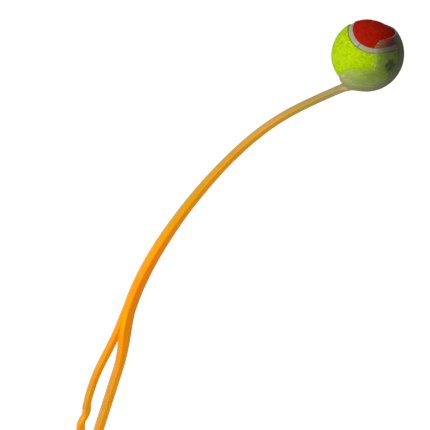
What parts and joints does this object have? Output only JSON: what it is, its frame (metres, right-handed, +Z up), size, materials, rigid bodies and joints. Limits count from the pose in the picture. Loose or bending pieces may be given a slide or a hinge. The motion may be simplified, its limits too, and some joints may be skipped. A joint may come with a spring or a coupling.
{
  "type": "dog ball thrower",
  "caption": "Dog ball thrower: curved springy stem with a finger-waved loop handle at one end and a clear hooded cup at the other that holds a two-colour felt ball.",
  "frame": {"origin": "middle of the hand's grip on the loop handle, in the thrower's middle plane", "axes": "+Z is up with the thrower held as in the picture, the ball at the top; +X runs from the handle towards the ball; the thrower's middle plane is Y = 0 and the picture looks from -Y"},
  "size_m": [0.3178, 0.0678, 0.4617],
  "materials": {
    "orange_plastic": "satin moulded",
    "smoke_plastic": "clear smoky moulded",
    "core_rubber": "plain",
    "yellow_felt": "napped felt",
    "red_felt": "napped felt",
    "seam_rubber": "matte"
  },
  "bodies": {
    "thrower": {"handle_stem": "orange_plastic", "ball_cup": "smoke_plastic"},
    "ball": {"core_half_a": "core_rubber", "core_half_b": "core_rubber", "felt_panel_yellow": "yellow_felt", "felt_panel_red": "red_felt", "seam_strip": "seam_rubber"}
  },
  "joints": [
    {"name": "ball_release", "type": "slide", "parent": "thrower", "child": "ball", "axis": [-0.682, 0, 0.7314], "range_m": [0, 0.08]}
  ]
}
